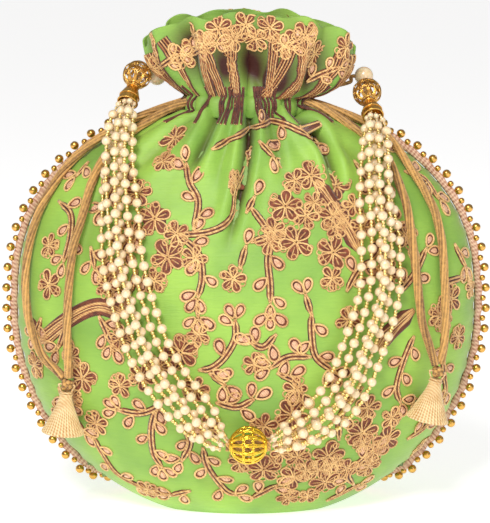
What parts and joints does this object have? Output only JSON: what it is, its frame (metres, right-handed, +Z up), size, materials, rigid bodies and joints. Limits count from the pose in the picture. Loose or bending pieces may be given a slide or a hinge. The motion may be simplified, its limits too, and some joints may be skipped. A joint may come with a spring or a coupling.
{
  "type": "drawstring gift pouch",
  "caption": "Round embroidered silk drawstring pouch with a gathered ruffle, beaded seam, pearl strand handle and cone-tasselled drawcords, standing on its flat base",
  "frame": {"origin": "centre of the flat base on the surface that the pouch stands on", "axes": "+Z up, -Y is the front with the handle and tassels, +X to the right seen from the front"},
  "size_m": [0.235, 0.1249, 0.237],
  "materials": {
    "silk": "soft satin sheen, fine weave",
    "lining_cloth": "matt",
    "satin_tape": "satin",
    "gold_metal": "bright",
    "gold_thread": "metallic thread",
    "pearl": "pearl lustre",
    "gold_cord": "silky twisted cord",
    "brocade": "ribbed metallic brocade",
    "pale_satin": "satin"
  },
  "bodies": {
    "bag": {"front_panel": "silk", "back_panel": "silk", "lining_front": "lining_cloth", "lining_back": "lining_cloth", "neck_casing": "silk", "ruffle": "silk", "seam_tape": "satin_tape", "trim_beads_large": "gold_metal", "trim_beads_small": "gold_metal", "left_handle_anchor": "gold_thread", "right_handle_anchor": "gold_thread"},
    "handle": {"left_end_pearl": "pearl", "right_end_pearl": "pearl", "left_end_thread": "gold_thread", "right_end_thread": "gold_thread", "left_filigree_ball": "gold_metal", "right_filigree_ball": "gold_metal", "left_strand_cap": "gold_metal", "right_strand_cap": "gold_metal", "centre_thread": "gold_thread", "left_strand_1": "pearl", "left_strand_2": "pearl", "left_strand_3": "pearl", "left_strand_4": "pearl", "left_strand_5": "pearl", "left_strand_6": "pearl", "right_strand_1": "pearl", "right_strand_2": "pearl", "right_strand_3": "pearl", "right_strand_4": "pearl", "right_strand_5": "pearl", "right_strand_6": "pearl"},
    "centre_ball": {"centre_filigree_ball": "gold_metal"},
    "left_drawcord": {"left_drawcord_stubs": "gold_cord", "left_drawcord_outer": "gold_cord", "left_drawcord_inner": "gold_cord", "left_cord_knot": "gold_cord"},
    "right_drawcord": {"right_drawcord_stubs": "gold_cord", "right_drawcord_outer": "gold_cord", "right_drawcord_inner": "gold_cord", "right_cord_knot": "gold_cord"},
    "left_tassel": {"left_tassel_cone": "brocade", "left_tassel_lining": "pale_satin"},
    "right_tassel": {"right_tassel_cone": "brocade", "right_tassel_lining": "pale_satin"}
  },
  "joints": [
    {"name": "handle_swing", "type": "hinge", "parent": "bag", "child": "handle", "pos_m": [0, 0.007, 0.205], "axis": [-1, 0, 0], "range_deg": [0, 200]},
    {"name": "centre_ball_spin", "type": "hinge", "parent": "handle", "child": "centre_ball", "pos_m": [0.001, -0.066, 0.042], "axis": [1, 0, 0], "continuous": true},
    {"name": "left_drawcord_pull", "type": "slide", "parent": "bag", "child": "left_drawcord", "axis": [-1, 0, 0], "range_m": [0, 0.006]},
    {"name": "right_drawcord_pull", "type": "slide", "parent": "bag", "child": "right_drawcord", "axis": [1, 0, 0], "range_m": [0, 0.006]},
    {"name": "left_tassel_swing", "type": "hinge", "parent": "left_drawcord", "child": "left_tassel", "pos_m": [-0.0835, -0.0413, 0.065], "axis": [-0.9954, 0, 0.0958], "range_deg": [0, 60]},
    {"name": "right_tassel_swing", "type": "hinge", "parent": "right_drawcord", "child": "right_tassel", "pos_m": [0.089, -0.0432, 0.0715], "axis": [-0.9799, 0, 0.1994], "range_deg": [0, 60]}
  ]
}
